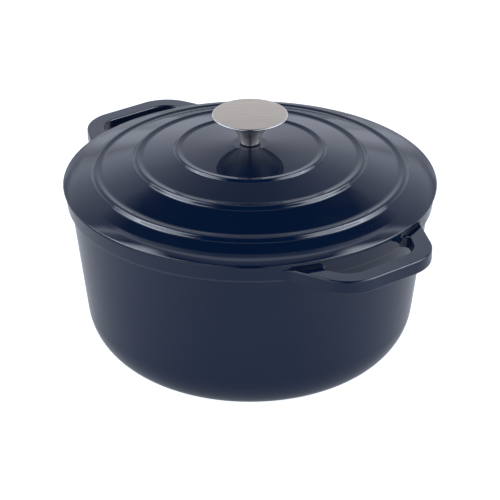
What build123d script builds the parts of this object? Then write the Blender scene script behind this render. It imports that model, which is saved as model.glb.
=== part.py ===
from build123d import *
import os
from math import cos, radians, sqrt, tan

os.makedirs("parts", exist_ok=True)

# Driving dimensions, in millimetres and degrees. Heights are counted up from the base.

rounding_share = 0.75  # most of a wall or a step that its rounded edges may take

# Pot body
pot_height = 128.0  # base to rim
band_radius = 129.0  # outside of the rim band, at the rim
band_height = 12.8
band_step = 2.6  # how far the band stands out from the wall below it
wall_draft = 6.45  # taper of the wall, the band and the cavity
wall_thickness = 4.6
floor_thickness = 5.2
base_corner_radius = 38.5
base_ring_width = 14.0  # flat ring that the pot stands on
base_recess = 0.8  # hollow inside that ring
rim_outer_edge = 1.5
rim_inner_edge = 1.2
band_lower_edge = 0.95
band_step_fillet = 0.95

# Loop handles, cast in one with the pot
handle_reach = 29.0  # outer edge of the loop, from the rim band
handle_drop = 3.3  # upper face below the rim
handle_thickness = 9.5
handle_width = 72.0  # across the outer edge, before its corners are rounded
handle_splay = 25.4  # each leg's angle to the handle's middle line
handle_corner_radius = 29.5
grip_width = 12.5  # bar and legs, seen from above
handle_root_fillet = 15.0  # legs into the band, seen from above
opening_root_fillet = 4.0  # finger opening into the band, seen from above
handle_upper_edge = 1.3
handle_lower_edge = 1.6
root_sink = 0.3  # how far the handles' root ring lies inside the band and off the cavity

# Lid: a bevelled, sloping edge and a flange, then a dome with an outer, a middle and an inner bead
lid_overhang = 1.0  # lid's edge beyond the rim band
lid_edge_height = 0.9  # upright part of the edge, from the rim up
lid_upper_edge = 0.6
lid_lower_edge = 0.3
lid_thickness = 4.8
edge_bevel_width = 3.9  # steeper ring next to the edge
edge_bevel_climb = 1.85
edge_slope_width = 5.6  # bevel to the start of the flange
edge_slope_climb = 1.9
edge_slope_rounding = 12.0
flange_width = 9.9  # to the foot of the outer bead
flange_climb = 3.1
outer_bead_rise = 2.5  # foot to crest
outer_bead_lean = 45.0  # outside face of the bead, off the vertical
outer_bead_width = 4.5  # crest to the hollow behind it
outer_bead_drop = 1.0
outer_dome_width = 29.1  # foot of this bead to the foot of the next
outer_dome_climb = 7.14  # hollow behind this bead to the foot of the next
outer_crest_rounding = 3.0
outer_foot_fillet = 3.0
outer_hollow_fillet = 5.6
middle_bead_rise = 2.5
middle_bead_lean = 40.0
middle_bead_width = 4.7
middle_bead_drop = 1.0
middle_dome_width = 28.4
middle_dome_climb = 4.79
middle_crest_rounding = 2.2
middle_foot_fillet = 2.6
middle_hollow_fillet = 5.8
inner_bead_rise = 1.7
inner_bead_lean = 42.0
inner_bead_width = 4.2
inner_bead_drop = 0.9
inner_dome_climb = 3.92  # up to the knob's seat
inner_crest_rounding = 1.6
inner_foot_fillet = 1.9
inner_hollow_fillet = 5.2
bead_roll = 1.25  # most that a bead's hollow roundings may be, as a share of its rise or width
under_inset = 2.5  # turns of the underside, inward of the beads' feet
under_rounding = 40.0
lip_root_fillet = 2.0
knob_seat_radius = 12.0  # flat pad in the middle of the lid
lip_clearance = 1.2  # centring lip inside the cavity
lip_depth = 5.0
lip_width = 5.0
lip_edge = 1.2

# Knob
knob_radius = 26.3
knob_height = 21.4  # gasket to the top
knob_neck_radius = 7.0
knob_flare_radius = 23.0  # hollow curve from the neck to the disc
knob_neck_edge = 0.5
knob_wall = 0.9
knob_floor = 2.0
cap_thickness = 0.7
cap_crown = 0.4
cap_edge_height = 2.0  # rolled edge of the disc
cap_edge_wall = 1.3
cap_upper_edge = 0.5
cap_lower_edge = 0.9
cap_fit = 0.05  # cap round the body
insert_radius = 5.0
insert_length = 12.0
gasket_radius = 6.9
gasket_thickness = 0.8

# Knob screw and washers
screw_radius = 3.0
screw_reach = 10.0  # thread inside the insert
screw_tip_edge = 0.5
thread_fit = 0.05
hole_clearance = 0.4  # lid and knob round the screw
washer_clearance = 0.2
screw_head_radius = 6.0
screw_head_height = 3.8
screw_head_edge = 1.6
recess_length = 6.4
recess_width = 1.3
recess_depth = 2.2
flat_washer_radius = 9.0
flat_washer_thickness = 1.2
lock_washer_radius = 5.6
lock_washer_thickness = 1.6
lock_washer_gap = 1.4


def corner(section, across, up):
    # The corner of a section that lies nearest to a point.
    return section.vertices().sort_by_distance((across, up))[0]


def rounding(radius, wall):
    # The radius of an edge, limited by the wall or step that carries it.
    return min(radius, rounding_share * wall)


# Pot body: radii of the section at the heights where it turns
draft_slope = tan(radians(wall_draft))
band_bottom = pot_height - band_height
band_low_radius = band_radius - band_height * draft_slope
wall_top_radius = band_low_radius - band_step
base_edge_radius = wall_top_radius - band_bottom * draft_slope
base_flat_radius = base_edge_radius - base_corner_radius * tan(radians(90 - wall_draft) / 2)
base_ring_inner = base_flat_radius - base_ring_width
level_wall = wall_thickness / cos(radians(wall_draft))
cavity_rim_radius = wall_top_radius + band_height * draft_slope - level_wall
cavity_floor_radius = cavity_rim_radius - (pot_height - floor_thickness) * draft_slope

# Loop handles: one loop and its finger opening, seen from above, on the +X side
loop_reach = band_radius + handle_reach
loop_start = loop_reach / 2
loop_half = handle_width / 2
loop_start_half = loop_half + (loop_reach - loop_start) * tan(radians(handle_splay))
root_radius = band_low_radius - root_sink
root_inner_radius = cavity_rim_radius + root_sink
handle_bottom = pot_height - handle_drop - handle_thickness

with BuildSketch() as loop_plan:
    with BuildLine():
        Polyline(
            (loop_start, -loop_start_half),
            (loop_reach, -loop_half),
            (loop_reach, loop_half),
            (loop_start, loop_start_half),
            close=True,
        )
    make_face()
    fillet(loop_plan.vertices().group_by(Axis.X)[-1], handle_corner_radius)

with BuildSketch() as opening_plan:
    add(loop_plan.sketch)
    offset(amount=-grip_width)
    Circle(root_radius, mode=Mode.SUBTRACT)
    fillet(opening_plan.vertices().group_by(SortBy.DISTANCE)[0], opening_root_fillet)

with BuildPart() as handles:
    with BuildSketch(Plane.XY.offset(handle_bottom)) as handle_plan:
        Circle(root_radius)
        add(loop_plan.sketch)
        mirror(loop_plan.sketch, about=Plane.YZ)
        fillet(handle_plan.vertices().group_by(SortBy.DISTANCE)[0], handle_root_fillet)
        add(opening_plan.sketch, mode=Mode.SUBTRACT)
        mirror(opening_plan.sketch, about=Plane.YZ, mode=Mode.SUBTRACT)
    extrude(amount=handle_thickness)
    upper_face = handles.faces().sort_by(Axis.Z)[-1]
    fillet(upper_face.edges(), rounding(handle_upper_edge, handle_thickness / 2))
    lower_face = handles.faces().sort_by(Axis.Z)[0]
    fillet(lower_face.edges(), rounding(handle_lower_edge, handle_thickness / 2))
    with BuildSketch(Plane.XY.offset(handle_bottom)):
        Circle(root_inner_radius)
    extrude(amount=handle_thickness, mode=Mode.SUBTRACT)

# Pot: its section turned round the upright axis, with both handles
with BuildPart() as pot:
    with BuildSketch(Plane.XZ) as pot_section:
        with BuildLine():
            Polyline(
                (0, base_recess),
                (base_ring_inner, base_recess),
                (base_ring_inner, 0),
                (base_edge_radius, 0),
                (wall_top_radius, band_bottom),
                (band_low_radius, band_bottom),
                (band_radius, pot_height),
                (cavity_rim_radius, pot_height),
                (cavity_floor_radius, floor_thickness),
                (0, floor_thickness),
                close=True,
            )
        make_face()
        fillet(corner(pot_section, base_edge_radius, 0), base_corner_radius)
        step_corner = corner(pot_section, wall_top_radius, band_bottom)
        fillet(step_corner, rounding(band_step_fillet, band_step / 2))
        band_corner = corner(pot_section, band_low_radius, band_bottom)
        fillet(band_corner, rounding(band_lower_edge, band_step / 2))
        rim_half = (band_radius - cavity_rim_radius) / 2
        fillet(corner(pot_section, band_radius, pot_height), rounding(rim_outer_edge, rim_half))
        fillet(corner(pot_section, cavity_rim_radius, pot_height), rounding(rim_inner_edge, rim_half))
        cavity_corner = corner(pot_section, cavity_floor_radius, floor_thickness)
        fillet(cavity_corner, base_corner_radius - wall_thickness)
    revolve(axis=Axis.Z)
    add(handles.part)
pot.part.label = "pot"
export_step(pot.part, "parts/pot.step")

# Lid: feet, crests and hollows of the three beads, from the edge to the middle
lid_radius = band_radius + lid_overhang
lid_edge_top = pot_height + lid_edge_height
bevel_head = (lid_radius - edge_bevel_width, lid_edge_top + edge_bevel_climb)
flange_edge = (bevel_head[0] - edge_slope_width, bevel_head[1] + edge_slope_climb)
outer_foot = (flange_edge[0] - flange_width, flange_edge[1] + flange_climb)
outer_lean = outer_bead_rise * tan(radians(outer_bead_lean))
outer_crest = (outer_foot[0] - outer_lean, outer_foot[1] + outer_bead_rise)
outer_hollow = (outer_crest[0] - outer_bead_width, outer_crest[1] - outer_bead_drop)
middle_foot = (outer_foot[0] - outer_dome_width, outer_hollow[1] + outer_dome_climb)
middle_lean = middle_bead_rise * tan(radians(middle_bead_lean))
middle_crest = (middle_foot[0] - middle_lean, middle_foot[1] + middle_bead_rise)
middle_hollow = (middle_crest[0] - middle_bead_width, middle_crest[1] - middle_bead_drop)
inner_foot = (middle_foot[0] - middle_dome_width, middle_hollow[1] + middle_dome_climb)
inner_lean = inner_bead_rise * tan(radians(inner_bead_lean))
inner_crest = (inner_foot[0] - inner_lean, inner_foot[1] + inner_bead_rise)
inner_hollow = (inner_crest[0] - inner_bead_width, inner_crest[1] - inner_bead_drop)
seat_height = inner_hollow[1] + inner_dome_climb
under_height = seat_height - lid_thickness
hole_radius = screw_radius + hole_clearance
lip_outer_radius = cavity_rim_radius - lip_clearance
lip_inner_radius = lip_outer_radius - lip_width
lip_bottom = pot_height - lip_depth
lip_taper = lip_depth * draft_slope
feet = (outer_foot, middle_foot, inner_foot)
under_turns = [(foot[0] - under_inset, foot[1] - lid_thickness) for foot in feet]
flange_fall = (lip_inner_radius - outer_foot[0]) * flange_climb / flange_width
under_flange = outer_foot[1] - flange_fall - lid_thickness

with BuildPart() as lid:
    with BuildSketch(Plane.XZ) as lid_section:
        with BuildLine():
            Polyline(
                (hole_radius, under_height),
                (hole_radius, seat_height),
                (knob_seat_radius, seat_height),
                inner_hollow,
                inner_crest,
                inner_foot,
                middle_hollow,
                middle_crest,
                middle_foot,
                outer_hollow,
                outer_crest,
                outer_foot,
                flange_edge,
                bevel_head,
                (lid_radius, lid_edge_top),
                (lid_radius, pot_height),
                (lip_outer_radius, pot_height),
                (lip_outer_radius - lip_taper, lip_bottom),
                (lip_inner_radius, lip_bottom),
                (lip_inner_radius, under_flange),
                *under_turns,
                (knob_seat_radius, under_height),
                close=True,
            )
        make_face()
        for foot, radius, rise in (
            (outer_foot, outer_foot_fillet, outer_bead_rise),
            (middle_foot, middle_foot_fillet, middle_bead_rise),
            (inner_foot, inner_foot_fillet, inner_bead_rise),
        ):
            fillet(corner(lid_section, *foot), min(radius, bead_roll * rise))
        for crest, radius, rise in (
            (outer_crest, outer_crest_rounding, outer_bead_rise),
            (middle_crest, middle_crest_rounding, middle_bead_rise),
            (inner_crest, inner_crest_rounding, inner_bead_rise),
        ):
            fillet(corner(lid_section, *crest), rounding(radius, rise))
        for hollow, radius, width in (
            (outer_hollow, outer_hollow_fillet, outer_bead_width),
            (middle_hollow, middle_hollow_fillet, middle_bead_width),
            (inner_hollow, inner_hollow_fillet, inner_bead_width),
        ):
            fillet(corner(lid_section, *hollow), min(radius, bead_roll * width))
        for turn in under_turns:
            fillet(corner(lid_section, *turn), under_rounding)
        fillet(corner(lid_section, *flange_edge), edge_slope_rounding)
        fillet(corner(lid_section, *bevel_head), edge_slope_rounding)
        fillet(corner(lid_section, lid_radius, lid_edge_top), rounding(lid_upper_edge, lid_edge_height))
        fillet(corner(lid_section, lid_radius, pot_height), rounding(lid_lower_edge, lid_edge_height / 2))
        lip_corner = corner(lid_section, lip_outer_radius - lip_taper, lip_bottom)
        fillet(lip_corner, rounding(lip_edge, lip_width / 2))
        fillet(corner(lid_section, lip_inner_radius, lip_bottom), rounding(lip_edge, lip_width / 2))
        fillet(corner(lid_section, lip_inner_radius, under_flange), lip_root_fillet)
    revolve(axis=Axis.Z)
lid.part.label = "lid"
export_step(lid.part, "parts/lid.step")

# Gasket between lid and knob
with BuildPart() as knob_gasket:
    with BuildSketch(Plane.XY.offset(seat_height)):
        Circle(gasket_radius)
        Circle(hole_radius, mode=Mode.SUBTRACT)
    extrude(amount=gasket_thickness)
knob_gasket.part.label = "knob_gasket"
export_step(knob_gasket.part, "parts/knob_gasket.step")

# Knob body: a hollow flare, its outside and inside curves struck from one centre
knob_bottom = seat_height + gasket_thickness
knob_top = knob_bottom + knob_height
cap_bottom = knob_top - cap_edge_height
rim_top = knob_top - cap_crown - cap_thickness
rim_radius = knob_radius - cap_edge_wall - cap_fit
rim_inner_radius = rim_radius - knob_wall
flare_run = rim_radius - knob_neck_radius
flare_climb = cap_bottom - knob_bottom
flare_chord = sqrt(flare_run**2 + flare_climb**2)
flare_depth = sqrt(knob_flare_radius**2 - (flare_chord / 2) ** 2)
flare_centre_across = knob_neck_radius + flare_run / 2 + flare_depth * flare_climb / flare_chord
flare_centre_up = knob_bottom + flare_climb / 2 - flare_depth * flare_run / flare_chord
inside_radius = knob_flare_radius + knob_wall
hollow_floor = knob_bottom + knob_floor
hollow_radius = flare_centre_across - sqrt(inside_radius**2 - (hollow_floor - flare_centre_up) ** 2)
hollow_top = flare_centre_up + sqrt(inside_radius**2 - (flare_centre_across - rim_inner_radius) ** 2)

with BuildPart() as knob_body:
    with BuildSketch(Plane.XZ) as knob_section:
        with BuildLine():
            Polyline(
                (hollow_radius, hollow_floor),
                (hole_radius, hollow_floor),
                (hole_radius, knob_bottom),
                (knob_neck_radius, knob_bottom),
            )
            RadiusArc((knob_neck_radius, knob_bottom), (rim_radius, cap_bottom), knob_flare_radius)
            Polyline(
                (rim_radius, cap_bottom),
                (rim_radius, rim_top),
                (rim_inner_radius, rim_top),
                (rim_inner_radius, hollow_top),
            )
            RadiusArc((rim_inner_radius, hollow_top), (hollow_radius, hollow_floor), -inside_radius)
        make_face()
        fillet(corner(knob_section, knob_neck_radius, knob_bottom), knob_neck_edge)
    revolve(axis=Axis.Z)
knob_body.part.label = "knob_body"
export_step(knob_body.part, "parts/knob_body.step")

# Knob cap: a crowned disc whose rolled edge closes over the body's rim
crown_radius = (knob_radius**2 + cap_crown**2) / (2 * cap_crown)
skirt_radius = rim_radius + cap_fit

with BuildPart() as knob_cap:
    with BuildSketch(Plane.XZ) as cap_section:
        with BuildLine():
            RadiusArc((0, knob_top), (knob_radius, knob_top - cap_crown), crown_radius)
            Polyline(
                (knob_radius, knob_top - cap_crown),
                (knob_radius, cap_bottom),
                (skirt_radius, cap_bottom),
                (skirt_radius, rim_top),
                (0, rim_top),
                (0, knob_top),
            )
        make_face()
        upper_edge = rounding(cap_upper_edge, (cap_edge_height - cap_crown) / 2)
        fillet(corner(cap_section, knob_radius, knob_top - cap_crown), upper_edge)
        fillet(corner(cap_section, knob_radius, cap_bottom), rounding(cap_lower_edge, cap_edge_wall))
    revolve(axis=Axis.Z)
knob_cap.part.label = "knob_cap"
export_step(knob_cap.part, "parts/knob_cap.step")

# Threaded insert on the floor of the knob's hollow
thread_radius = screw_radius + thread_fit

with BuildPart() as knob_insert:
    with BuildSketch(Plane.XY.offset(hollow_floor)):
        Circle(insert_radius)
        Circle(thread_radius, mode=Mode.SUBTRACT)
    extrude(amount=insert_length)
knob_insert.part.label = "knob_insert"
export_step(knob_insert.part, "parts/knob_insert.step")

# Washers under the lid, stacked downwards from its underside
washer_hole = screw_radius + washer_clearance
flat_washer_bottom = under_height - flat_washer_thickness
lock_washer_bottom = flat_washer_bottom - lock_washer_thickness

with BuildPart() as flat_washer:
    with BuildSketch(Plane.XY.offset(flat_washer_bottom)):
        Circle(flat_washer_radius)
        Circle(washer_hole, mode=Mode.SUBTRACT)
    extrude(amount=flat_washer_thickness)
flat_washer.part.label = "flat_washer"
export_step(flat_washer.part, "parts/flat_washer.step")

with BuildPart() as lock_washer:
    with BuildSketch(Plane.XY.offset(lock_washer_bottom)):
        Circle(lock_washer_radius)
        Circle(washer_hole, mode=Mode.SUBTRACT)
        Rectangle(
            lock_washer_radius * 2,
            lock_washer_gap,
            align=(Align.MIN, Align.CENTER),
            mode=Mode.SUBTRACT,
        )
    extrude(amount=lock_washer_thickness)
lock_washer.part.label = "lock_washer"
export_step(lock_washer.part, "parts/lock_washer.step")

# Screw, head down under the washers
head_bottom = lock_washer_bottom - screw_head_height
screw_top = hollow_floor + screw_reach

with BuildPart() as knob_screw:
    with BuildSketch(Plane.XZ) as screw_section:
        with BuildLine():
            Polyline(
                (0, head_bottom),
                (screw_head_radius, head_bottom),
                (screw_head_radius, lock_washer_bottom),
                (screw_radius, lock_washer_bottom),
                (screw_radius, screw_top),
                (0, screw_top),
                close=True,
            )
        make_face()
        head_corner = corner(screw_section, screw_head_radius, head_bottom)
        fillet(head_corner, rounding(screw_head_edge, screw_head_height))
        chamfer(corner(screw_section, screw_radius, screw_top), screw_tip_edge)
    revolve(axis=Axis.Z)
    with BuildSketch(Plane.XY.offset(head_bottom)):
        Rectangle(recess_length, recess_width)
        Rectangle(recess_width, recess_length)
    extrude(amount=recess_depth, mode=Mode.SUBTRACT)
knob_screw.part.label = "knob_screw"
export_step(knob_screw.part, "parts/knob_screw.step")
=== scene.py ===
import math

import bpy
import numpy as np
from mathutils import Matrix


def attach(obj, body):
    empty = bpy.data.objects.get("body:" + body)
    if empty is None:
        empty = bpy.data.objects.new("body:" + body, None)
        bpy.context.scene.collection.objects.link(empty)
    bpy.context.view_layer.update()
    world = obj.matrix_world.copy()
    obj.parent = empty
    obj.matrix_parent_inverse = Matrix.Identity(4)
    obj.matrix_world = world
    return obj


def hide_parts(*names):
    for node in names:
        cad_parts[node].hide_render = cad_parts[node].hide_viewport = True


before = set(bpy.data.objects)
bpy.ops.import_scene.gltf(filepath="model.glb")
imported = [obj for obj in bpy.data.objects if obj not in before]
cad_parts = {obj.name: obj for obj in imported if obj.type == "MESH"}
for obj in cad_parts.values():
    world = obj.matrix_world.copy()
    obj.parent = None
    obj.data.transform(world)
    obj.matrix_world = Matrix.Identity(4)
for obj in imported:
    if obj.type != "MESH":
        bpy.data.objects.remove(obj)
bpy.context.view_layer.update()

mm = 0.001
scene = bpy.context.scene
print("frame loaded:", sorted(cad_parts))


# profiles and turned meshes

def unit(v):
    return v / np.linalg.norm(v)


def roundedProfile(corners, arcStep=5.0, lineStep=5.0):  # corners: (radius, height, rounding, tag), mm
    pts, nrm, tags = [], [], []
    last = len(corners) - 1
    ends = []
    for i, c in enumerate(corners):
        p = np.array(c[:2], float)
        if i in (0, last) or c[2] <= 0:
            ends.append((p, p, None))
            continue
        u = unit(p - np.array(corners[i - 1][:2], float))
        v = unit(np.array(corners[i + 1][:2], float) - p)
        turn = math.atan2(u[0] * v[1] - u[1] * v[0], float(u @ v))
        cut = c[2] * math.tan(abs(turn) / 2)
        ends.append((p - u * cut, p + v * cut, (u, turn, c[2])))
    for i in range(len(corners)):
        start, end, arc = ends[i]
        tag = corners[i][3]
        if arc:
            u, turn, r = arc
            side = 1 if turn > 0 else -1
            centre = start + side * r * np.array((-u[1], u[0]))
            count = max(3, math.ceil(abs(math.degrees(turn)) / arcStep))
            for k in range(count + 1):
                a = turn * k / count
                d = np.array((u[0] * math.cos(a) - u[1] * math.sin(a), u[0] * math.sin(a) + u[1] * math.cos(a)))
                n = np.array((-d[1], d[0]))
                pts.append(centre - side * r * n)
                nrm.append(n)
                tags.append(tag)
        elif i in (0, last):
            other = ends[1][0] if i == 0 else ends[last - 1][1]
            d = unit(other - start) if i == 0 else unit(start - other)
            pts.append(start)
            nrm.append(np.array((-d[1], d[0])))
            tags.append(tag)
        if i < last:  # points along the straight run to the next corner
            a, b = end, ends[i + 1][0]
            run = np.linalg.norm(b - a)
            if run > 1e-6:
                d = (b - a) / run
                count = max(1, round(run / lineStep))
                for k in range(1, count):
                    pts.append(a + d * run * k / count)
                    nrm.append(np.array((-d[1], d[0])))
                    tags.append(tag)
    return np.array(pts), np.array(nrm), tags


def turnedMesh(profile, segments):  # profile in mm, gives vertices, faces, normals and a tag per face
    pts, nrm, tags = profile
    ang = np.arange(segments) * 2 * math.pi / segments
    verts, norms, rings = [], [], []
    for p, n in zip(pts, nrm):
        if p[0] < 1e-6:
            rings.append([len(verts)])
            verts.append((0.0, 0.0, p[1]))
            norms.append((0.0, 0.0, 1.0 if n[1] > 0 else -1.0))
            continue
        rings.append(range(len(verts), len(verts) + segments))
        verts += [(p[0] * math.cos(a), p[0] * math.sin(a), p[1]) for a in ang]
        norms += [(n[0] * math.cos(a), n[0] * math.sin(a), n[1]) for a in ang]
    faces, faceTags = [], []
    for i in range(len(rings) - 1):
        a, b = rings[i], rings[i + 1]
        for j in range(segments):
            k = (j + 1) % segments
            if len(a) == 1:
                faces.append((a[0], b[j], b[k]))
            elif len(b) == 1:
                faces.append((a[j], b[0], a[k]))
            else:
                faces.append((a[j], b[j], b[k], a[k]))
            faceTags.append(tags[i])
    return verts, faces, norms, faceTags


def makePiece(name, parts, materials, tagOrder):  # parts: meshes that share one casting
    verts, faces, norms, tags = [], [], [], []
    for v, f, n, t in parts:
        base = len(verts)
        verts += [tuple(c * mm for c in p) for p in v]
        faces += [tuple(i + base for i in q) for q in f]
        norms += n
        tags += t
    mesh = bpy.data.meshes.new(name)
    mesh.from_pydata(verts, [], faces)
    for m in materials:
        mesh.materials.append(m)
    mesh.polygons.foreach_set("material_index", [tagOrder.index(t) for t in tags])
    mesh.polygons.foreach_set("use_smooth", [True] * len(faces))
    mesh.validate()
    mesh.normals_split_custom_set_from_vertices(norms)
    mesh.update()
    piece = bpy.data.objects.new(name, mesh)
    scene.collection.objects.link(piece)
    return piece


# node helpers

def wire(tree, kind, values=None, **settings):  # values: socket name -> constant or another node's socket
    node = tree.nodes.new("ShaderNode" + kind)
    for key, value in settings.items():
        setattr(node, key, value)
    for key, value in (values or {}).items():
        socket = node.inputs[key]
        if hasattr(value, "is_output"):
            tree.links.new(value, socket)
        else:
            socket.default_value = value
    return node


def calc(tree, operation, *values):  # one maths node, gives its output
    return wire(tree, "Math", dict(enumerate(values)), operation=operation).outputs[0]


def softStep(tree, value, start, end, low=0.0, high=1.0):  # smooth change from low to high
    return wire(tree, "MapRange", {"Value": value, "From Min": start, "From Max": end, "To Min": low, "To Max": high},
                interpolation_type="SMOOTHSTEP").outputs[0]


def mixColor(tree, share, first, second, how="MIX"):
    return wire(tree, "Mix", {0: share, 6: first, 7: second}, data_type="RGBA", blend_type=how).outputs[2]


def fromAxis(tree, parts):  # distance from the upright axis, from separated coordinates
    flat = wire(tree, "CombineXYZ", {"X": parts.outputs["X"], "Y": parts.outputs["Y"]})
    return wire(tree, "VectorMath", {0: flat.outputs[0]}, operation="LENGTH").outputs["Value"]


def newGroup(name, inputs, outputs):  # inputs: (name, kind, default)
    group = bpy.data.node_groups.new(name, "ShaderNodeTree")
    for label, kind, default in inputs:
        socket = group.interface.new_socket(label, in_out="INPUT", socket_type="NodeSocket" + kind)
        socket.default_value = default
    for label, kind in outputs:
        group.interface.new_socket(label, in_out="OUTPUT", socket_type="NodeSocket" + kind)
    return group, group.nodes.new("NodeGroupInput"), group.nodes.new("NodeGroupOutput")


def useGroup(tree, group, values):
    node = tree.nodes.new("ShaderNodeGroup")
    node.node_tree = group
    for key, value in values.items():
        if hasattr(value, "is_output"):
            tree.links.new(value, node.inputs[key])
        else:
            node.inputs[key].default_value = value
    return node


# shared effects

def glazeSurface():  # slow ripples and a fine orange peel
    group, start, end = newGroup(
        "glazeSurface",
        [("Ripple Scale", "Float", 30.0), ("Ripple", "Float", 0.5),
         ("Peel Scale", "Float", 500.0), ("Peel", "Float", 0.2)],
        [("Height", "Float")])
    given = start.outputs
    spot = wire(group, "TexCoord").outputs["Object"]
    ripple = wire(group, "TexNoise", {"Vector": spot, "Scale": given["Ripple Scale"],
                                      "Detail": 1.5, "Roughness": 0.4})
    peel = wire(group, "TexNoise", {"Vector": spot, "Scale": given["Peel Scale"],
                                    "Detail": 2.0, "Roughness": 0.55})
    low = calc(group, "MULTIPLY", ripple.outputs["Fac"], given["Ripple"])
    both = calc(group, "MULTIPLY_ADD", peel.outputs["Fac"], given["Peel"], low)
    group.links.new(both, end.inputs["Height"])
    return group


def glazeTint():  # cloudy mix of two close colours
    group, start, end = newGroup(
        "glazeTint",
        [("Color", "Color", (1, 1, 1, 1)), ("Second Color", "Color", (0, 0, 0, 1)),
         ("Scale", "Float", 20.0), ("Amount", "Float", 0.5)],
        [("Color", "Color")])
    given = start.outputs
    spot = wire(group, "TexCoord").outputs["Object"]
    cloud = wire(group, "TexNoise", {"Vector": spot, "Scale": given["Scale"], "Detail": 5.0, "Roughness": 0.6})
    part = wire(group, "MapRange", {"Value": cloud.outputs["Fac"], "From Min": 0.35, "From Max": 0.7})
    share = calc(group, "MULTIPLY", part.outputs[0], given["Amount"])
    group.links.new(mixColor(group, share, given["Color"], given["Second Color"]), end.inputs["Color"])
    return group


def specks():  # sparse dots, for pinholes and grit under the glaze
    group, start, end = newGroup(
        "specks",
        [("Scale", "Float", 300.0), ("Size", "Float", 0.12), ("Share", "Float", 0.3)],
        [("Mask", "Float")])
    given = start.outputs
    spot = wire(group, "TexCoord").outputs["Object"]
    cells = wire(group, "TexVoronoi", {"Vector": spot, "Scale": given["Scale"]})
    dot = calc(group, "LESS_THAN", cells.outputs["Distance"], given["Size"])
    pick = wire(group, "SeparateColor", {"Color": cells.outputs["Color"]})
    some = calc(group, "LESS_THAN", pick.outputs[0], given["Share"])
    group.links.new(calc(group, "MULTIPLY", dot, some), end.inputs["Mask"])
    return group


brushing = {"angle": 36.6, "along": 0.02, "wideScale": 420.0}  # straight lines: turn, squeeze along them, broad bands


def brushLines():  # fine scratches along one direction, or round the axis
    group, start, end = newGroup(
        "brushLines",
        [("Turned", "Float", 0.0), ("Scale", "Float", 2600.0)],
        [("Height", "Float"), ("Shade", "Float")])
    spot = wire(group, "TexCoord").outputs["Object"]
    parts = wire(group, "SeparateXYZ", {"Vector": spot})
    turned = wire(group, "CombineXYZ", {"X": fromAxis(group, parts), "Z": parts.outputs["Z"]})
    turn = wire(group, "VectorRotate", {"Vector": spot, "Axis": (0, 0, 1), "Angle": math.radians(brushing["angle"])},
                rotation_type="AXIS_ANGLE")
    straight = wire(group, "VectorMath", {0: turn.outputs[0], 1: (1.0, brushing["along"], 1.0)}, operation="MULTIPLY")
    path = wire(group, "Mix", {0: start.outputs["Turned"], 4: straight.outputs[0], 5: turned.outputs[0]},
                data_type="VECTOR").outputs[1]
    lines = wire(group, "TexNoise", {"Vector": path, "Scale": start.outputs["Scale"],
                                     "Detail": 3.0, "Roughness": 0.65})
    wide = wire(group, "TexNoise", {"Vector": path, "Scale": brushing["wideScale"], "Detail": 2.0})
    shade = calc(group, "MULTIPLY", lines.outputs["Fac"], wide.outputs["Fac"])
    group.links.new(lines.outputs["Fac"], end.inputs["Height"])
    group.links.new(shade, end.inputs["Shade"])
    return group


glazeSurfaceGroup = glazeSurface()
glazeTintGroup = glazeTint()
specksGroup = specks()
brushGroup = brushLines()
print("shared effects ready")


# materials

def newMaterial(name):
    material = bpy.data.materials.new(name)
    material.use_nodes = True
    tree = material.node_tree
    return material, tree, tree.nodes["Principled BSDF"]


def glaze(name, look):
    material, tree, shader = newMaterial(name)
    tint = useGroup(tree, glazeTintGroup, {"Color": (*look["color"], 1), "Second Color": (*look["second"], 1),
                                           "Scale": look["tintScale"], "Amount": look["tintAmount"]})
    dots = useGroup(tree, specksGroup, {"Scale": look["speckScale"], "Size": look["speckSize"],
                                        "Share": look["speckShare"]}).outputs["Mask"]
    base = mixColor(tree, dots, tint.outputs["Color"], (*look["speckColor"], 1))
    rough = wire(tree, "Mix", {0: dots, 2: look["rough"], 3: look["speckRough"]}, data_type="FLOAT")
    surface = useGroup(tree, glazeSurfaceGroup, {"Ripple Scale": look["rippleScale"], "Ripple": look["ripple"],
                                                 "Peel Scale": look["peelScale"], "Peel": look["peel"]})
    bump = wire(tree, "Bump", {"Height": surface.outputs["Height"], "Strength": look["bump"], "Distance": 0.001})
    if "paintedEdgeHighlight" in look:  # painted highlight: a lighter glaze colour along an edge at this height, within this radius
        low, high, soft, reach = look["paintedEdgeHighlight"]
        spot = wire(tree, "SeparateXYZ", {"Vector": wire(tree, "TexCoord").outputs["Object"]})
        rise = softStep(tree, spot.outputs["Z"], low - soft, low)
        fall = softStep(tree, spot.outputs["Z"], high + soft, high)
        near = softStep(tree, fromAxis(tree, spot), reach + soft, reach)
        highlightShare = calc(tree, "MULTIPLY", calc(tree, "MULTIPLY", rise, fall), near)
        # painted highlight: the masked strip takes the lighter colour
        base = mixColor(tree, highlightShare, base, (*look["paintedHighlightColor"], 1))
    tree.links.new(base, shader.inputs["Base Color"])
    tree.links.new(rough.outputs[0], shader.inputs["Roughness"])
    tree.links.new(bump.outputs["Normal"], shader.inputs["Normal"])
    shader.inputs["IOR"].default_value = look["ior"]
    return material


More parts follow.
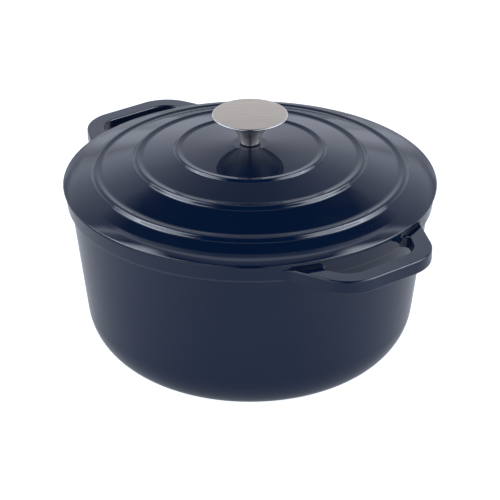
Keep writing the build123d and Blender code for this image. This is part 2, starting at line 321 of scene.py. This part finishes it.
navyEnamel = glaze("navyEnamel", {
    "color": (0.0024, 0.0118, 0.041), "second": (0.003, 0.0145, 0.049), "tintScale": 16.0, "tintAmount": 0.6,
    "speckScale": 260.0, "speckSize": 0.09, "speckShare": 0.12, "speckColor": (0.01, 0.014, 0.04), "speckRough": 0.3,
    "rough": 0.055, "rippleScale": 26.0, "ripple": 0.9, "peelScale": 420.0, "peel": 0.018, "bump": 0.3, "ior": 1.5,
    # painted highlight on the band's lower rounded edge, standing in for the light line it reflects
    "paintedEdgeHighlight": (0.1157, 0.1166, 0.0008, 0.1279), "paintedHighlightColor": (0.022, 0.034, 0.062),
})
creamEnamel = glaze("creamEnamel", {
    "color": (0.66, 0.62, 0.53), "second": (0.6, 0.555, 0.46), "tintScale": 22.0, "tintAmount": 0.5,
    "speckScale": 190.0, "speckSize": 0.06, "speckShare": 0.08, "speckColor": (0.2, 0.17, 0.13), "speckRough": 0.35,
    "rough": 0.16, "rippleScale": 30.0, "ripple": 0.8, "peelScale": 380.0, "peel": 0.02, "bump": 0.35, "ior": 1.5,
})
rimIron = glaze("rimIron", {
    "color": (0.011, 0.011, 0.013), "second": (0.018, 0.017, 0.017), "tintScale": 60.0, "tintAmount": 0.8,
    "speckScale": 700.0, "speckSize": 0.25, "speckShare": 0.35, "speckColor": (0.03, 0.028, 0.027), "speckRough": 0.6,
    "rough": 0.42, "rippleScale": 60.0, "ripple": 0.3, "peelScale": 900.0, "peel": 0.12, "bump": 0.5, "ior": 1.5,
})


shadeRange = {"From Min": 0.1, "From Max": 0.45}  # what the brush lines' shade spans


def metal(name, look):
    material, tree, shader = newMaterial(name)
    brush = useGroup(tree, brushGroup, {"Turned": look["turned"], "Scale": look["lineScale"]})
    shade = {"Value": brush.outputs["Shade"], **shadeRange}
    tone = wire(tree, "MapRange", shade)
    color = mixColor(tree, tone.outputs[0], (*look["dark"], 1), (*look["light"], 1))
    rough = wire(tree, "MapRange", {**shade, "To Min": look["rough"] + look["roughSpread"], "To Max": look["rough"]})
    bump = wire(tree, "Bump", {"Height": brush.outputs["Height"], "Strength": look["bump"], "Distance": 0.0002})
    tree.links.new(color, shader.inputs["Base Color"])
    tree.links.new(rough.outputs[0], shader.inputs["Roughness"])
    tree.links.new(bump.outputs["Normal"], shader.inputs["Normal"])
    shader.inputs["Metallic"].default_value = 1.0
    shader.inputs["Anisotropic"].default_value = look["stretch"]  # turned lines spread the shine across themselves
    shader.inputs["Anisotropic Rotation"].default_value = 0.25
    return material


capSteel = metal("capSteel", {
    "turned": 0.0, "lineScale": 2600.0, "dark": (0.56, 0.49, 0.417), "light": (0.635, 0.558, 0.47),
    "rough": 0.3, "roughSpread": 0.1, "bump": 0.1, "stretch": 0.0,
})
bodySteel = metal("bodySteel", {
    "turned": 1.0, "lineScale": 2200.0, "dark": (0.56, 0.54, 0.52), "light": (0.68, 0.66, 0.63),
    "rough": 0.3, "roughSpread": 0.08, "bump": 0.05, "stretch": 0.9,
})
edgeSteel = metal("edgeSteel", {
    "turned": 1.0, "lineScale": 2200.0, "dark": (0.62, 0.61, 0.6), "light": (0.72, 0.71, 0.7),
    "rough": 0.2, "roughSpread": 0.06, "bump": 0.03, "stretch": 0.4,
})
zincSteel = metal("zincSteel", {
    "turned": 1.0, "lineScale": 1500.0, "dark": (0.42, 0.42, 0.43), "light": (0.58, 0.58, 0.59),
    "rough": 0.3, "roughSpread": 0.12, "bump": 0.2, "stretch": 0.4,
})
blackRubber = glaze("blackRubber", {
    "color": (0.016, 0.016, 0.018), "second": (0.024, 0.024, 0.025), "tintScale": 90.0, "tintAmount": 0.7,
    "speckScale": 1500.0, "speckSize": 0.2, "speckShare": 0.25, "speckColor": (0.04, 0.04, 0.042), "speckRough": 0.8,
    "rough": 0.62, "rippleScale": 120.0, "ripple": 0.2, "peelScale": 1800.0, "peel": 0.2, "bump": 0.6, "ior": 1.48,
})
print("materials made")


# pot

pot = {
    "rim": 128.0, "bandRadius": 129.0, "bandHeight": 12.8, "bandStep": 2.6, "draft": 6.45,
    "wall": 4.6, "floor": 5.2, "corner": 38.5, "footWidth": 14.0, "footDepth": 0.8,
    "rimInside": 1.2, "rimOutside": 1.5, "bandEdge": 1.0, "stepFillet": 1.2, "footEdge": 0.3,  # roundings
    "segments": 384,
}
slope = math.tan(math.radians(pot["draft"]))
bandBottom = pot["rim"] - pot["bandHeight"]
bandLow = pot["bandRadius"] - pot["bandHeight"] * slope
wallTop = bandLow - pot["bandStep"]
baseEdge = wallTop - bandBottom * slope
baseFlat = baseEdge - pot["corner"] * math.tan(math.radians(90 - pot["draft"]) / 2)
cavityRim = wallTop + pot["bandHeight"] * slope - pot["wall"] / math.cos(math.radians(pot["draft"]))
cavityFloor = cavityRim - (pot["rim"] - pot["floor"]) * slope


def bandRadiusAt(z):
    return pot["bandRadius"] - (pot["rim"] - z) * slope


potProfile = roundedProfile([
    (0, pot["floor"], 0, "inside"),
    (cavityFloor, pot["floor"], pot["corner"] - pot["wall"], "inside"),
    (cavityRim, pot["rim"], pot["rimInside"], "rim"),
    (pot["bandRadius"], pot["rim"], pot["rimOutside"], "outside"),
    (bandLow, bandBottom, pot["bandEdge"], "outside"),
    (wallTop, bandBottom, pot["stepFillet"], "outside"),
    (baseEdge, 0, pot["corner"], "outside"),
    (baseFlat - pot["footWidth"], 0, pot["footEdge"], "outside"),
    (baseFlat - pot["footWidth"], pot["footDepth"], pot["footEdge"], "outside"),
    (0, pot["footDepth"], 0, "outside"),
])

handle = {
    "reach": 158.0, "width": 72.0, "splay": 25.4, "corner": 29.5, "grip": 12.5,
    "rootFillet": 15.0, "openingFillet": 4.0, "top": 124.7, "thickness": 9.5,
    "upperEdge": 1.3, "lowerEdge": 1.6, "sink": 0.06,
    "runSteps": 9, "bendSteps": 25, "upperSteps": 9, "lowerSteps": 11, "flatSteps": 7,
}


def loopOutline(offset, corner, fillet, ring, outward):  # half outline from the bar's middle to the band
    s = math.radians(handle["splay"])
    n = np.array((math.sin(s), math.cos(s)))
    m = np.array((-math.cos(s), math.sin(s)))
    barX = handle["reach"] - offset
    d = n @ np.array((handle["reach"], handle["width"] / 2)) - offset
    cornerY = (d - n[0] * barX) / n[1]
    cut = corner * math.tan((math.pi / 2 - s) / 2)
    side = 1 if outward else -1
    k = -math.sqrt((ring + fillet) ** 2 - (d + side * fillet) ** 2)
    rootCentre = n * (d + side * fillet) + m * k
    onLeg = rootCentre - n * side * fillet
    onRing = rootCentre * ring / (ring + fillet)
    pts, nrm = [], []
    for f in np.linspace(0, 1, handle["runSteps"])[:-1]:
        pts.append(np.array((barX, (cornerY - cut) * f)))
        nrm.append(np.array((1.0, 0.0)))
    centre = np.array((barX - corner, cornerY - cut))
    for f in np.linspace(0, 1, handle["bendSteps"])[:-1]:
        a = f * (math.pi / 2 - s)
        w = np.array((math.cos(a), math.sin(a)))
        pts.append(centre + w * corner)
        nrm.append(w)
    legStart = centre + n * corner
    for f in np.linspace(0, 1, handle["runSteps"])[:-1]:
        pts.append(legStart + (onLeg - legStart) * f)
        nrm.append(n)
    a0 = math.atan2(*(onLeg - rootCentre)[::-1])
    a1 = math.atan2(*(onRing - rootCentre)[::-1])
    turn = (a1 - a0 + math.pi) % (2 * math.pi) - math.pi
    for f in np.linspace(0, 1, handle["bendSteps"]):
        a = a0 + turn * f
        w = np.array((math.cos(a), math.sin(a)))
        pts.append(rootCentre + w * fillet)
        nrm.append(-w * side)
    pts, nrm = np.array(pts), np.array(nrm)
    flip = np.array((1, -1))
    pts = np.concatenate([pts[:0:-1] * flip, pts])
    nrm = np.concatenate([nrm[:0:-1] * flip, nrm])
    return pts, nrm if outward else -nrm


def loopMesh(mirror):  # sections from root to root, each a rounded bar
    bottom = handle["top"] - handle["thickness"]
    ringSteps = []  # (inset, height, sideways share of the normal, upward share)
    for a in np.linspace(90, 0, handle["upperSteps"]):
        c, s = math.cos(math.radians(a)), math.sin(math.radians(a))
        ringSteps.append((handle["upperEdge"] * (1 - c), handle["top"] - handle["upperEdge"] * (1 - s), c, s))
    for a in np.linspace(0, -90, handle["lowerSteps"]):
        c, s = math.cos(math.radians(a)), math.sin(math.radians(a))
        ringSteps.append((handle["lowerEdge"] * (1 - c), bottom + handle["lowerEdge"] * (1 + s), c, s))

    def sideRows(offset, corner, fillet, outward, steps):
        out = []
        for inset, z, across, up in steps:
            ring = bandRadiusAt(z) - handle["sink"]
            p, n = loopOutline(offset, corner, fillet, ring, outward)
            p = p - n * inset
            out.append((np.column_stack([p, np.full(len(p), z)]),
                        np.column_stack([n * across, np.full(len(p), up)])))
        return out

    outer = sideRows(0, handle["corner"], handle["rootFillet"], True, ringSteps)
    inner = sideRows(handle["grip"], handle["corner"] - handle["grip"], handle["openingFillet"], False, ringSteps)
    between = np.linspace(0, 1, handle["flatSteps"])[1:-1]
    top = [(outer[0][0] * (1 - f) + inner[0][0] * f, outer[0][1]) for f in between[::-1]]
    base = [(outer[-1][0] * (1 - f) + inner[-1][0] * f, outer[-1][1]) for f in between]
    rows = outer + base + inner[::-1] + top
    count = len(rows[0][0])
    verts, norms = [], []
    for p, n in rows:
        verts += [tuple(q) for q in p]
        norms += [tuple(q) for q in n]
    faces = []
    for i in range(len(rows)):
        a, b = i * count, (i + 1) % len(rows) * count
        for j in range(count - 1):
            faces.append((a + j, a + j + 1, b + j + 1, b + j))
    faces.append(tuple(i * count for i in range(len(rows))))
    faces.append(tuple(i * count + count - 1 for i in reversed(range(len(rows)))))
    if mirror:
        verts = [(-x, y, z) for x, y, z in verts]
        norms = [(-x, y, z) for x, y, z in norms]
    else:
        faces = [f[::-1] for f in faces]
    return verts, faces, norms, ["outside"] * len(faces)


potPiece = makePiece("potCasting", [turnedMesh(potProfile, pot["segments"]), loopMesh(False), loopMesh(True)],
                     [creamEnamel, rimIron, navyEnamel], ["inside", "rim", "outside"])
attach(potPiece, "pot")
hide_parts("pot")
print("pot cast")


# lid

lid = {
    "radius": 130.0, "edgeHeight": 0.8, "upperEdge": 1.2, "lowerEdge": 0.3, "thickness": 4.8,
    "bevelWidth": 3.9, "bevelClimb": 1.9, "slopeWidth": 5.6, "slopeClimb": 1.95, "slopeRounding": 55.0,
    "flangeWidth": 9.9, "flangeClimb": 3.1,
    # rise, lean, width behind, drop behind, next foot, climb to it, crest, foot and hollow roundings
    "beads": [(2.5, 45.0, 4.5, 1.0, 29.1, 7.14, 3.0, 3.0, 5.6),
              (2.5, 40.0, 4.7, 1.0, 28.4, 4.79, 2.2, 2.6, 5.8),
              (1.7, 42.0, 4.2, 0.9, 0, 3.92, 1.6, 1.9, 5.2)],
    "underInset": 2.5, "underRounding": 40.0, "seatRadius": 12.0, "seatRounding": 6.0, "hole": 3.4,
    "lipClearance": 1.2, "lipDepth": 5.0, "lipWidth": 5.0, "lipRoot": 2.0, "lipCorner": 0.5, "lipEdge": 1.2,
    "segments": 264,
}
edgeTop = pot["rim"] + lid["edgeHeight"]
bevelHead = (lid["radius"] - lid["bevelWidth"], edgeTop + lid["bevelClimb"])
flangeEdge = (bevelHead[0] - lid["slopeWidth"], bevelHead[1] + lid["slopeClimb"])
footRadius = flangeEdge[0] - lid["flangeWidth"]
height = flangeEdge[1] + lid["flangeClimb"]
lidTop = [(lid["radius"], pot["rim"], lid["lowerEdge"], "outside"),
          (lid["radius"], edgeTop, lid["upperEdge"], "outside"),
          (*bevelHead, lid["slopeRounding"], "outside"),
          (*flangeEdge, lid["slopeRounding"], "outside")]
lipOuter = cavityRim - lid["lipClearance"]
lipInner = lipOuter - lid["lipWidth"]
lipBottom = pot["rim"] - lid["lipDepth"]
flangeFall = (lipInner - footRadius) * lid["flangeClimb"] / lid["flangeWidth"]
lidUnder = [(lipInner, height - flangeFall - lid["thickness"], lid["lipRoot"], "under")]
for rise, lean, width, drop, nextFoot, climb, crest, foot, hollow in lid["beads"]:
    crestRadius = footRadius - rise * math.tan(math.radians(lean))
    lidTop.append((footRadius, height, foot, "outside"))
    lidTop.append((crestRadius, height + rise, crest, "outside"))
    lidTop.append((crestRadius - width, height + rise - drop, hollow, "outside"))
    lidUnder.append((footRadius - lid["underInset"], height - lid["thickness"], lid["underRounding"], "under"))
    footRadius -= nextFoot
    height += rise - drop + climb
seat = height
lidCorners = [
    (lid["hole"], seat, 0, "outside"),
    (lid["seatRadius"], seat, lid["seatRounding"], "outside"),
    *lidTop[::-1],
    (lipOuter, pot["rim"], lid["lipCorner"], "under"),
    (lipOuter - lid["lipDepth"] * slope, lipBottom, lid["lipEdge"], "under"),
    (lipInner, lipBottom, lid["lipEdge"], "under"),
    *lidUnder,
    (lid["seatRadius"], seat - lid["thickness"], lid["seatRounding"], "under"),
    (lid["hole"], seat - lid["thickness"], 0, "under"),
    (lid["hole"], seat, 0, "under"),
]
lidProfile = roundedProfile(lidCorners, arcStep=3.0, lineStep=4.0)
lidPiece = makePiece("lidCasting", [turnedMesh(lidProfile, lid["segments"])],
                     [navyEnamel, creamEnamel], ["outside", "under"])
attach(lidPiece, "lid")
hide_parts("lid")
print("lid cast")


# knob

knob = {
    "radius": 26.3, "height": 21.4, "neck": 7.0, "flare": 23.0, "wall": 0.9, "floor": 2.0, "gasket": 0.8,
    "neckEdge": 0.5, "neckInset": 0.05, "neckRounding": 0.35,
    "capThickness": 0.7, "crown": 0.4, "edgeHeight": 2.0, "edgeWall": 1.3, "fit": 0.05,
    "upperEdge": 1.0, "upperSlack": 0.01, "lowerEdge": 0.9, "innerEdge": 0.3,
    "flareSteps": 40, "hollowSteps": 24, "crownSteps": 14, "segments": 192,
}
knobBottom = seat + knob["gasket"]
knobTop = knobBottom + knob["height"]
capBottom = knobTop - knob["edgeHeight"]
rimTop = knobTop - knob["crown"] - knob["capThickness"]
rimRadius = knob["radius"] - knob["edgeWall"] - knob["fit"]
chord = np.array((rimRadius - knob["neck"], capBottom - knobBottom))
depth = math.sqrt(knob["flare"] ** 2 - (chord @ chord) / 4)
flareCentre = np.array((knob["neck"], knobBottom)) + chord / 2 + depth * unit(np.array((chord[1], -chord[0])))


def flareArc(radius, low, high, count, outward):  # hollow curve between two heights
    pts, nrm = [], []
    for z in np.linspace(low, high, count):
        p = np.array((flareCentre[0] - math.sqrt(radius ** 2 - (z - flareCentre[1]) ** 2), z))
        pts.append(p)
        nrm.append(unit(flareCentre - p) * (1 if outward else -1))
    return pts, nrm


def joinProfile(*runs):  # runs of (points, normals) or corner lists, all one tag
    pts, nrm = [], []
    for run in runs:
        if isinstance(run, list):
            p, n, _ = roundedProfile([(*c, "knob") for c in run])
        else:
            p, n = run
        pts += list(p)
        nrm += list(n)
    return np.array(pts), np.array(nrm), ["knob"] * len(pts)


hollowFloor = knobBottom + knob["floor"]
insideRadius = knob["flare"] + knob["wall"]
rimInner = rimRadius - knob["wall"]
hollowTop = flareCentre[1] + math.sqrt(insideRadius ** 2 - (flareCentre[0] - rimInner) ** 2)
hollowRadius = flareCentre[0] - math.sqrt(insideRadius ** 2 - (hollowFloor - flareCentre[1]) ** 2)
outerPts, outerNrm = flareArc(knob["flare"], knobBottom + knob["neckEdge"], capBottom, knob["flareSteps"], True)
innerPts, innerNrm = flareArc(insideRadius, hollowFloor, hollowTop, knob["hollowSteps"], False)
bodyProfile = joinProfile(
    [(lid["hole"], hollowFloor, 0), (hollowRadius, hollowFloor, 0)],
    (innerPts, innerNrm),
    [(rimInner, hollowTop, 0), (rimInner, rimTop, 0)],
    [(rimInner, rimTop, 0), (rimRadius, rimTop, 0)],
    [(rimRadius, rimTop, 0), (rimRadius, capBottom, 0)],
    (outerPts[::-1], outerNrm[::-1]),
    [(*outerPts[0], 0), (knob["neck"] - knob["neckInset"], knobBottom, knob["neckRounding"]),
     (lid["hole"], knobBottom, 0)],
    [(lid["hole"], knobBottom, 0), (lid["hole"], hollowFloor, 0)],
)
bodyPiece = makePiece("knobBody", [turnedMesh(bodyProfile, knob["segments"])], [bodySteel], ["knob"])
crownRadius = (knob["radius"] ** 2 + knob["crown"] ** 2) / (2 * knob["crown"])
crownPts, crownNrm = [], []
for r in np.linspace(0, knob["radius"] - knob["upperEdge"], knob["crownSteps"]):
    n = unit(np.array((r, math.sqrt(crownRadius ** 2 - r ** 2))))
    crownPts.append(np.array((r, knobTop - crownRadius + crownRadius * n[1])))
    crownNrm.append(n)
crownEnd = crownPts[-1]
capInner = rimRadius + knob["fit"]
capProfile = joinProfile(
    (crownPts, crownNrm),
    [(*crownEnd, 0), (knob["radius"], crownEnd[1], knob["upperEdge"] - knob["upperSlack"]),
     (knob["radius"], capBottom, knob["lowerEdge"]), (capInner, capBottom, knob["innerEdge"]), (capInner, rimTop, 0)],
    [(capInner, rimTop, 0), (0, rimTop, 0)],
)
# the brushed face stops at the rolled edge, which is polished
capProfile = (*capProfile[:2], ["face" if i < len(crownPts) - 1 else "edge" for i in range(len(capProfile[0]))])
capPiece = makePiece("knobCap", [turnedMesh(capProfile, knob["segments"])],
                     [capSteel, edgeSteel], ["face", "edge"])
for piece, node in ((bodyPiece, "knob_body"), (capPiece, "knob_cap")):
    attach(piece, "lid")
    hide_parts(node)
for node, material in (("knob_gasket", blackRubber), ("knob_insert", zincSteel), ("knob_screw", zincSteel),
                       ("flat_washer", zincSteel), ("lock_washer", zincSteel)):
    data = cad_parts[node].data
    data.materials.clear()
    data.materials.append(material)
print("knob fitted")


# studio

camera = {
    "azimuth": -36.6, "distance": 1.28334, "height": 0.75973, "pitch": 28.216,
    "lens": 147.585, "sensor": 36.0, "farthest": 50,
}
a = math.radians(camera["azimuth"])
forward = np.array((-math.cos(a), -math.sin(a), 0.0))  # the camera's own directions on the floor
right = np.array((-math.sin(a), math.cos(a), 0.0))
camData = bpy.data.cameras.new("camera")
camData.lens = camera["lens"]
camData.sensor_width = camera["sensor"]
camData.clip_end = camera["farthest"]
camObj = bpy.data.objects.new("camera", camData)
camObj.location = (camera["distance"] * math.cos(a), camera["distance"] * math.sin(a), camera["height"])
camObj.rotation_euler = (math.radians(90 - camera["pitch"]), 0, a + math.pi / 2)
scene.collection.objects.link(camObj)
scene.camera = camObj

# white to the camera; painted light for what the pot mirrors: the floor glows dimmer in front (painted shade) and
# lighter to the sides (painted light), and fades far off
paper = {
    "half": 1.25, "drop": 0.0002, "color": (0.5, 0.5, 0.5, 1), "rough": 0.7, "glowColor": (0.95, 1.0, 1.08, 1),
    "across": (0.06, 0.26), "glow": (0.22, 0.45),  # distance to the side, brightness there
    "away": (0.35, 0.9), "fade": (1.0, 0.1),  # distance from the pot's middle, share left
}
half = paper["half"]
floorMesh = bpy.data.meshes.new("floor")
floorMesh.from_pydata([(-half, -half, 0), (half, -half, 0), (half, half, 0), (-half, half, 0)], [], [(0, 1, 2, 3)])
floor = bpy.data.objects.new("floor", floorMesh)
floor.location.z = -paper["drop"]
scene.collection.objects.link(floor)
floorPaper, floorTree, floorShader = newMaterial("floorPaper")
floorShader.inputs["Base Color"].default_value = paper["color"]
floorShader.inputs["Roughness"].default_value = paper["rough"]
floorShader.inputs["Emission Color"].default_value = paper["glowColor"]


def evenStep(tree, value, span, levels):  # straight change of level over a span
    return wire(tree, "MapRange", {"Value": value, "From Min": span[0], "From Max": span[1],
                                   "To Min": levels[0], "To Max": levels[1]}).outputs[0]


def along(tree, vector, direction):
    return wire(tree, "VectorMath", {0: vector, 1: tuple(direction)}, operation="DOT_PRODUCT").outputs["Value"]


spot = wire(floorTree, "TexCoord").outputs["Object"]
across = calc(floorTree, "ABSOLUTE", along(floorTree, spot, right))
away = wire(floorTree, "VectorMath", {0: spot}, operation="LENGTH").outputs["Value"]
# painted light: the floor's glow for rays other than the camera's, brighter to the sides and fading with distance
paintedFloorGlow = calc(floorTree, "MULTIPLY", evenStep(floorTree, across, paper["across"], paper["glow"]),
                evenStep(floorTree, away, paper["away"], paper["fade"]))
shown = calc(floorTree, "MAXIMUM", paintedFloorGlow, wire(floorTree, "LightPath").outputs["Is Camera Ray"])
floorTree.links.new(shown, floorShader.inputs["Emission Strength"])
floorMesh.materials.append(floorPaper)

# pale surround: bright low down behind the pot, fading overhead
surround = {
    "tint": (0.94, 1.0, 1.14, 1), "scale": 2.0,
    "turnToBack": (-0.15, 0.45),  # where the front's steps give way to the back's
    # sine of the height above the horizon, brightness
    "backSteps": [(0.0, 0.3), (0.03, 0.43), (0.12, 0.5), (0.24, 0.51), (0.34, 0.5), (0.44, 0.425), (0.515, 0.35),
                  (0.6, 0.275), (0.695, 0.18), (0.777, 0.1), (0.848, 0.03), (0.89, 0.005)],
    "frontSteps": [(0.0, 0.35), (0.05, 0.75), (0.35, 0.8), (0.6, 0.55), (0.75, 0.1), (0.9, 0.01)],
    "strip": (0.06, 0.36, 0.4),  # darker round the camera: from, to, darkest
    "flattest": 0.2,  # rays below this height count as this steep
    # overhead, counted along a bow that opens to the back: a dark gap and a soft light
    "bow": 1.9, "bowReach": 0.5, "gap": (0.45, 0.7), "gapSides": (0.42, 0.6),
    "overheadSteps": [(0.1, 0.0), (0.15, 0.14), (0.2, 0.2), (0.24, 0.2), (0.28, 0.36), (0.32, 0.7), (0.35, 0.6),
                      (0.385, 0.35), (0.42, 0.14), (0.455, 0.04), (0.49, 0.0)],
    # brightness to the sides, by how flat the ray runs sideways, in shares of sideReach
    "sideReach": 2.5, "sideSteps": [(0.43, 1.0), (0.55, 0.56), (0.65, 0.58), (0.8, 1.0)],
}
world = bpy.data.worlds.new("studio")
scene.world = world
world.use_nodes = True
sky = world.node_tree


def heightRamp(steps, place):
    ramp = wire(sky, "ValToRGB", {"Fac": place})
    marks = ramp.color_ramp.elements
    while len(marks) < len(steps):
        marks.new(0.5)
    for mark, (position, level) in zip(marks, steps):
        mark.position = position
        mark.color = (level, level, level, 1)
    return ramp.outputs["Color"]


toward = wire(sky, "TexCoord").outputs["Generated"]
upward = wire(sky, "SeparateXYZ", {"Vector": toward}).outputs["Z"]
behind = along(sky, toward, forward)
sideways = calc(sky, "ABSOLUTE", along(sky, toward, right))
stripFrom, stripTo, darkest = surround["strip"]
front = mixColor(sky, 1.0, heightRamp(surround["frontSteps"], upward),
                 softStep(sky, sideways, stripFrom, stripTo, darkest), "MULTIPLY")
level = mixColor(sky, softStep(sky, behind, *surround["turnToBack"]), front,
                 heightRamp(surround["backSteps"], upward))
steep = calc(sky, "MAXIMUM", upward, surround["flattest"])
backSlant = calc(sky, "DIVIDE", behind, steep)
sideSlant = calc(sky, "DIVIDE", sideways, steep)
bent = calc(sky, "POWER", calc(sky, "MINIMUM", sideSlant, surround["bowReach"]), 2.0)
bent = calc(sky, "MULTIPLY_ADD", bent, -surround["bow"], backSlant)
gap = calc(sky, "MAXIMUM", softStep(sky, bent, *surround["gap"]), softStep(sky, sideSlant, *surround["gapSides"]))
level = mixColor(sky, 1.0, level, gap, "MULTIPLY")
sideShare = calc(sky, "DIVIDE", sideSlant, surround["sideReach"])
level = mixColor(sky, 1.0, level, heightRamp(surround["sideSteps"], sideShare), "MULTIPLY")
level = mixColor(sky, 1.0, level, heightRamp(surround["overheadSteps"], bent), "ADD")
level = mixColor(sky, 1.0, level, surround["tint"], "MULTIPLY")
bright = wire(sky, "VectorMath", {0: level, "Scale": surround["scale"]}, operation="SCALE")
seen = wire(sky, "LightPath").outputs["Is Camera Ray"]
shown = mixColor(sky, seen, bright.outputs[0], (1, 1, 1, 1))  # plain white to the camera
sky.links.new(shown, sky.nodes["Background"].inputs["Color"])


# soft boxes, placed round the camera's line of sight
def gather(name, pieces):
    group = bpy.data.collections.new(name)
    for piece in pieces:
        group.objects.link(piece)
    return group


castings = gather("castings", (potPiece, lidPiece))
knobParts = gather("knobParts", (bodyPiece, capPiece))
lamps = {
    "tint": (0.93, 1.0, 1.1), "aim": np.array((0, 0, 0.1)),
    "softEdge": 0.16,  # share of a box, at each side, over which it fades
    # name, forward, right, up, width, depth, brightness, what it gives, pieces it lights (None for all)
    "boxes": [
        ("overheadBox", 0.3, 0.0, 1.4, 1.6, 0.3, 1.6, "colour", None),
        ("frontFill", -2.0, 0.0, 0.62, 1.6, 0.8, 1.2, "colour", None),
        ("leftBox", 0.03, -1.05, 1.31, 1.39, 1.25, 4.6, "shine", castings),
        ("leftHeart", 0.14, -1.0, 1.22, 0.36, 0.7, 5.0, "shine", castings),
        ("rightBox", 0.0, 1.05, 1.31, 1.49, 1.25, 4.6, "shine", castings),
        ("rightHeart", 0.14, 1.0, 1.22, 0.36, 0.7, 5.0, "shine", castings),
        # the flat cap mirrors the side boxes whole, so the knob has dimmer ones
        ("leftKnobBox", 0.03, -1.05, 1.31, 1.39, 1.25, 0.85, "shine", knobParts),
        ("rightKnobBox", 0.0, 1.05, 1.31, 1.49, 1.25, 0.85, "shine", knobParts),
    ],
}


def fadeEdges(tree):  # full in the middle of the box, nothing at its sides
    across = wire(tree, "SeparateXYZ", {"Vector": wire(tree, "NewGeometry").outputs["Parametric"]})
    fades = []
    for axis in "XY":
        off = calc(tree, "ABSOLUTE", calc(tree, "SUBTRACT", across.outputs[axis], 0.5))
        fades.append(softStep(tree, off, 0.5, 0.5 - lamps["softEdge"]))
    tree.links.new(calc(tree, "MULTIPLY", *fades), tree.nodes["Emission"].inputs["Strength"])


for name, ahead, aside, up, width, depth, brightness, gives, lit in lamps["boxes"]:
    data = bpy.data.lights.new(name, "AREA")
    data.shape = "RECTANGLE"
    data.size = width
    data.size_y = depth
    data.energy = brightness * math.pi * width * depth
    data.color = lamps["tint"]
    data.use_nodes = True
    fadeEdges(data.node_tree)
    box = bpy.data.objects.new(name, data)
    place = forward * ahead + right * aside + np.array((0, 0, up))
    box.location = place
    back = unit(place - lamps["aim"])
    level = unit(np.cross((0, 0, 1), back))
    box.rotation_euler = Matrix(np.column_stack([level, np.cross(back, level), back]).tolist()).to_euler()
    box.visible_camera = False
    box.visible_diffuse = gives != "shine"
    box.visible_glossy = gives != "colour"
    scene.collection.objects.link(box)
    if lit:
        box.light_linking.receiver_collection = lit
scene.view_settings.view_transform = "Standard"
scene.view_settings.look = "None"
print("studio set")
